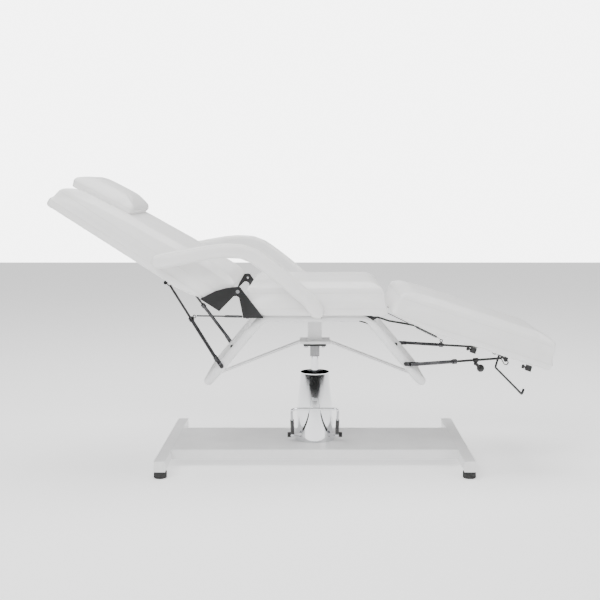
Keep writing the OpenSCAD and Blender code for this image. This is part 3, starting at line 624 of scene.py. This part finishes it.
# ------------------------------------------------------------------ weld beads
def bead(name, corners, body, radius=0.0016, closed=True):
    pts = []
    n = len(corners)
    for i in range(n if closed else n - 1):
        a, b = Vector(corners[i]), Vector(corners[(i + 1) % n])
        steps = max(2, int((b - a).length / 0.0022))
        pts += [a.lerp(b, k / steps) for k in range(steps)]
    if not closed:
        pts.append(Vector(corners[-1]))
    obj = tube(name, pts, radius, M["weld"], closed=closed, sides=8, wobble=0.22)
    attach(obj, body)
    return obj


def square(cx, cy, half_x, half_y, z):
    return [(cx - half_x, cy - half_y, z), (cx + half_x, cy - half_y, z),
            (cx + half_x, cy + half_y, z), (cx - half_x, cy + half_y, z)]


bead("weld_post_foot", square(c, 0, 0.0252, 0.0252, 0.4137), "seat", 0.0020)
bead("weld_post_head", square(c, 0, 0.0252, 0.0252, 0.4998), "seat", 0.0020)
for name, sx in (("head", -1), ("foot", 1)):
    top = [(c + sx * 0.3515, y, 0.2945) for y in (-0.0152, 0.0152)]
    bead("weld_truss_" + name, top, "seat", 0.0018, closed=False)
    tube_x = c + sx * (0.5315 - 0.038)
    edge = [(tube_x, -0.1575, 0.0582), (tube_x, 0.1575, 0.0582)]
    bead("weld_pan_" + name, edge, "base", 0.0014, closed=False)

# ------------------------------------------------------------------ camera
camera_data = bpy.data.cameras.new("camera")
camera = bpy.data.objects.new("camera", camera_data)
bpy.context.scene.collection.objects.link(camera)
camera.location = (COLUMN_X, -3.63, 0.970)
camera.rotation_euler = (math.radians(90), 0, 0)
camera_data.sensor_width = 36
camera_data.lens = 60.48
camera_data.shift_x = -0.02467
camera_data.shift_y = -0.19167
camera_data.clip_end = 60
bpy.context.scene.camera = camera


# ------------------------------------------------------------------ studio
floor_mesh = bpy.data.meshes.new("floor")
floor_mesh.from_pydata([(-4.8, -4.6, 0), (4.8, -4.6, 0), (4.8, 9, 0), (-4.8, 9, 0)], [], [(0, 1, 2, 3)])
floor = bpy.data.objects.new("floor", floor_mesh)
bpy.context.scene.collection.objects.link(floor)
shade = Shader("pale_floor")
shade.colour(shade.noise(0.6, 2), [(0.0, (0.93, 0.93, 0.93)), (1.0, (0.95, 0.95, 0.95))])
shade.set(Roughness=0.75, Specular_IOR_Level=0.2)
shade.set(Emission_Color=(1, 1, 1, 1), Emission_Strength=0.55)
floor_mesh.materials.append(shade.mat)


def area_light(name, place, target, size, power):
    data = bpy.data.lights.new(name, "AREA")
    data.shape = "RECTANGLE"
    data.size, data.size_y = size
    data.energy = power
    light = bpy.data.objects.new(name, data)
    bpy.context.scene.collection.objects.link(light)
    light.location = place
    light.rotation_euler = (Vector(target) - Vector(place)).to_track_quat("-Z", "Y").to_euler()
    return light


area_light("key", (-1.6, -2.6, 3.2), (0, 0, 0.5), (2.6, 2.0), 120)
area_light("fill", (2.8, -2.2, 2.2), (0, 0, 0.5), (2.2, 2.2), 40)
area_light("top", (0, 0.6, 3.8), (0, 0, 0), (3.2, 2.4), 130)

# The studio is white; only mirror-like surfaces see its dark walls.
world_data = bpy.data.worlds.new("studio")
bpy.context.scene.world = world_data
world_data.use_nodes = True
tree = world_data.node_tree
white = tree.nodes["Background"]
white.inputs["Color"].default_value = (1, 1, 1, 1)
white.inputs["Strength"].default_value = 0.62
backdrop = tree.nodes.new("ShaderNodeBackground")
backdrop.inputs["Color"].default_value = (1, 1, 1, 1)
backdrop.inputs["Strength"].default_value = 6.0
walls = tree.nodes.new("ShaderNodeBackground")
coord = tree.nodes.new("ShaderNodeTexCoord")
split = tree.nodes.new("ShaderNodeSeparateXYZ")
ramp = tree.nodes.new("ShaderNodeValToRGB")
ramp.color_ramp.elements[0].position = 0.2
ramp.color_ramp.elements[0].color = (0.02, 0.02, 0.02, 1)
ramp.color_ramp.elements[1].position = 0.45
ramp.color_ramp.elements[1].color = (1, 1, 1, 1)
rays = tree.nodes.new("ShaderNodeLightPath")
for_glossy = tree.nodes.new("ShaderNodeMixShader")
for_camera = tree.nodes.new("ShaderNodeMixShader")
tree.links.new(coord.outputs["Generated"], split.inputs["Vector"])
tree.links.new(split.outputs["Z"], ramp.inputs["Fac"])
tree.links.new(ramp.outputs["Color"], walls.inputs["Color"])
tree.links.new(rays.outputs["Is Glossy Ray"], for_glossy.inputs[0])
tree.links.new(white.outputs["Background"], for_glossy.inputs[1])
tree.links.new(walls.outputs["Background"], for_glossy.inputs[2])
tree.links.new(rays.outputs["Is Camera Ray"], for_camera.inputs[0])
tree.links.new(for_glossy.outputs["Shader"], for_camera.inputs[1])
tree.links.new(backdrop.outputs["Background"], for_camera.inputs[2])
tree.links.new(for_camera.outputs["Shader"], tree.nodes["World Output"].inputs["Surface"])
